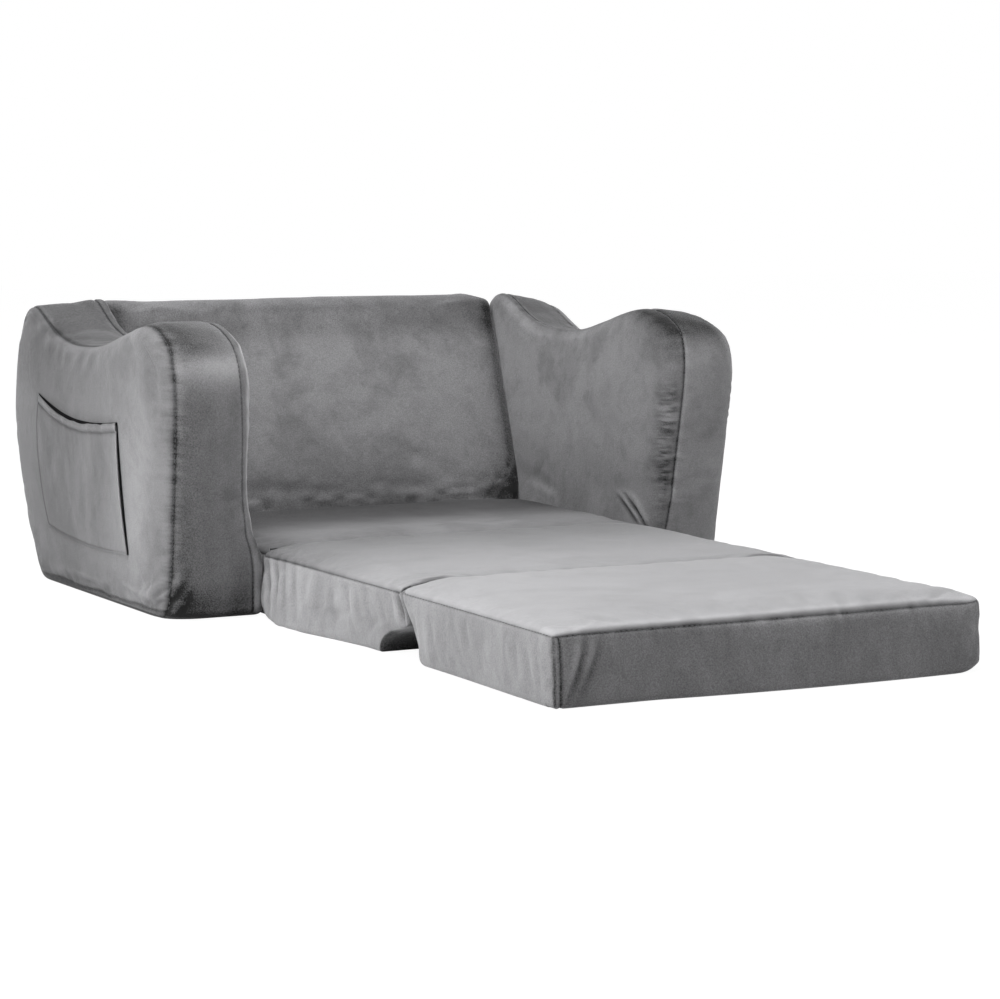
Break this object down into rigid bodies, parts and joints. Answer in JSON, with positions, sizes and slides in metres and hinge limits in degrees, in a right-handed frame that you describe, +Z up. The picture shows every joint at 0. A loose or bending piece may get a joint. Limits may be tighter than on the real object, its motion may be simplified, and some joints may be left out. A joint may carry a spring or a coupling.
{
  "type": "kids flip open sofa",
  "caption": "Low foam sofa for small children with wavy arms, a side pocket and a folding seat that opens forward into a flat mattress.",
  "frame": {"origin": "on the floor, at the centre of the fixed seat base's underside", "axes": "+X to the sitter's left (the right of the picture), +Y to the back, +Z up"},
  "size_m": [0.8086, 1.2883, 0.3713],
  "materials": {
    "velvet": "short pile velvet",
    "foam": "open cell foam",
    "non_slip_cloth": "woven, with small grip dots",
    "cord": "cloth covered",
    "zip_tape": "moulded coil on woven tape",
    "zip_metal": "satin"
  },
  "bodies": {
    "sofa": {"left_arm_foam": "foam", "left_arm_outer_panel": "velvet", "left_arm_inner_panel": "velvet", "left_arm_boxing": "velvet", "left_arm_sole": "non_slip_cloth", "right_arm_foam": "foam", "right_arm_outer_panel": "velvet", "right_arm_inner_panel": "velvet", "right_arm_boxing": "velvet", "right_arm_sole": "non_slip_cloth", "left_pocket_panel": "velvet", "back_foam": "foam", "back_front_panel": "velvet", "back_rear_panel": "velvet", "back_sole": "non_slip_cloth", "base_foam": "foam", "base_top_panel": "velvet", "base_boxing": "velvet", "base_underside": "non_slip_cloth", "body_zip_chain": "zip_tape"},
    "spine": {"spine_cloth": "velvet"},
    "fold": {"fold_cord": "cord"},
    "middle_panel": {"middle_foam": "foam", "middle_top_panel": "velvet", "middle_boxing": "velvet", "middle_underside": "velvet", "notch_cord": "cord", "middle_zip_chain": "zip_tape"},
    "front_panel": {"front_foam": "foam", "front_top_panel": "velvet", "front_boxing": "velvet", "front_underside": "velvet", "front_zip_chain": "zip_tape"},
    "body_slider": {"body_zip_slider": "zip_metal"},
    "body_pull": {"body_zip_pull": "zip_metal"},
    "middle_slider": {"middle_zip_slider": "zip_metal"},
    "middle_pull": {"middle_zip_pull": "zip_metal"},
    "front_slider": {"front_zip_slider": "zip_metal"},
    "front_pull": {"front_zip_pull": "zip_metal"}
  },
  "joints": [
    {"name": "spine_lift", "type": "slide", "parent": "sofa", "child": "spine", "axis": [0, 0, 1], "range_m": [0, 0.1005]},
    {"name": "fold_over", "type": "hinge", "parent": "sofa", "child": "fold", "pos_m": [0, -0.12155, 0.13625], "axis": [-1, 0, 0], "range_deg": [0, 90]},
    {"name": "middle_turn", "type": "hinge", "parent": "fold", "child": "middle_panel", "pos_m": [0, -0.1718, 0.086], "axis": [-1, 0, 0], "range_deg": [0, 90]},
    {"name": "front_fold", "type": "hinge", "parent": "middle_panel", "child": "front_panel", "pos_m": [0, -0.5538, 0.0905], "axis": [-1, 0, 0], "range_deg": [0, 180]},
    {"name": "body_zip_slide", "type": "slide", "parent": "sofa", "child": "body_slider", "axis": [-1, 0, 0], "range_m": [0, 0.268]},
    {"name": "body_pull_swing", "type": "hinge", "parent": "body_slider", "child": "body_pull", "pos_m": [0.134, 0.32397, 0.05127], "axis": [0, -0.5332, -0.846], "range_deg": [0, 170]},
    {"name": "middle_zip_slide", "type": "slide", "parent": "middle_panel", "child": "middle_slider", "axis": [-1, 0, 0], "range_m": [0, 0.268]},
    {"name": "middle_pull_swing", "type": "hinge", "parent": "middle_slider", "child": "middle_pull", "pos_m": [0.134, -0.52864, 0.01588], "axis": [0, -0.8, 0.6], "range_deg": [0, 170]},
    {"name": "front_zip_slide", "type": "slide", "parent": "front_panel", "child": "front_slider", "axis": [-1, 0, 0], "range_m": [0, 0.268]},
    {"name": "front_pull_swing", "type": "hinge", "parent": "front_slider", "child": "front_pull", "pos_m": [0.134, -0.57339, 0.03398], "axis": [0, -0.59, -0.8074], "range_deg": [0, 170]}
  ],
  "couplings": [
    {"joint": "spine_lift", "follows": "fold_over", "m_per_rad": 0.06398},
    {"joint": "front_fold", "follows": "middle_turn", "ratio": 2}
  ]
}
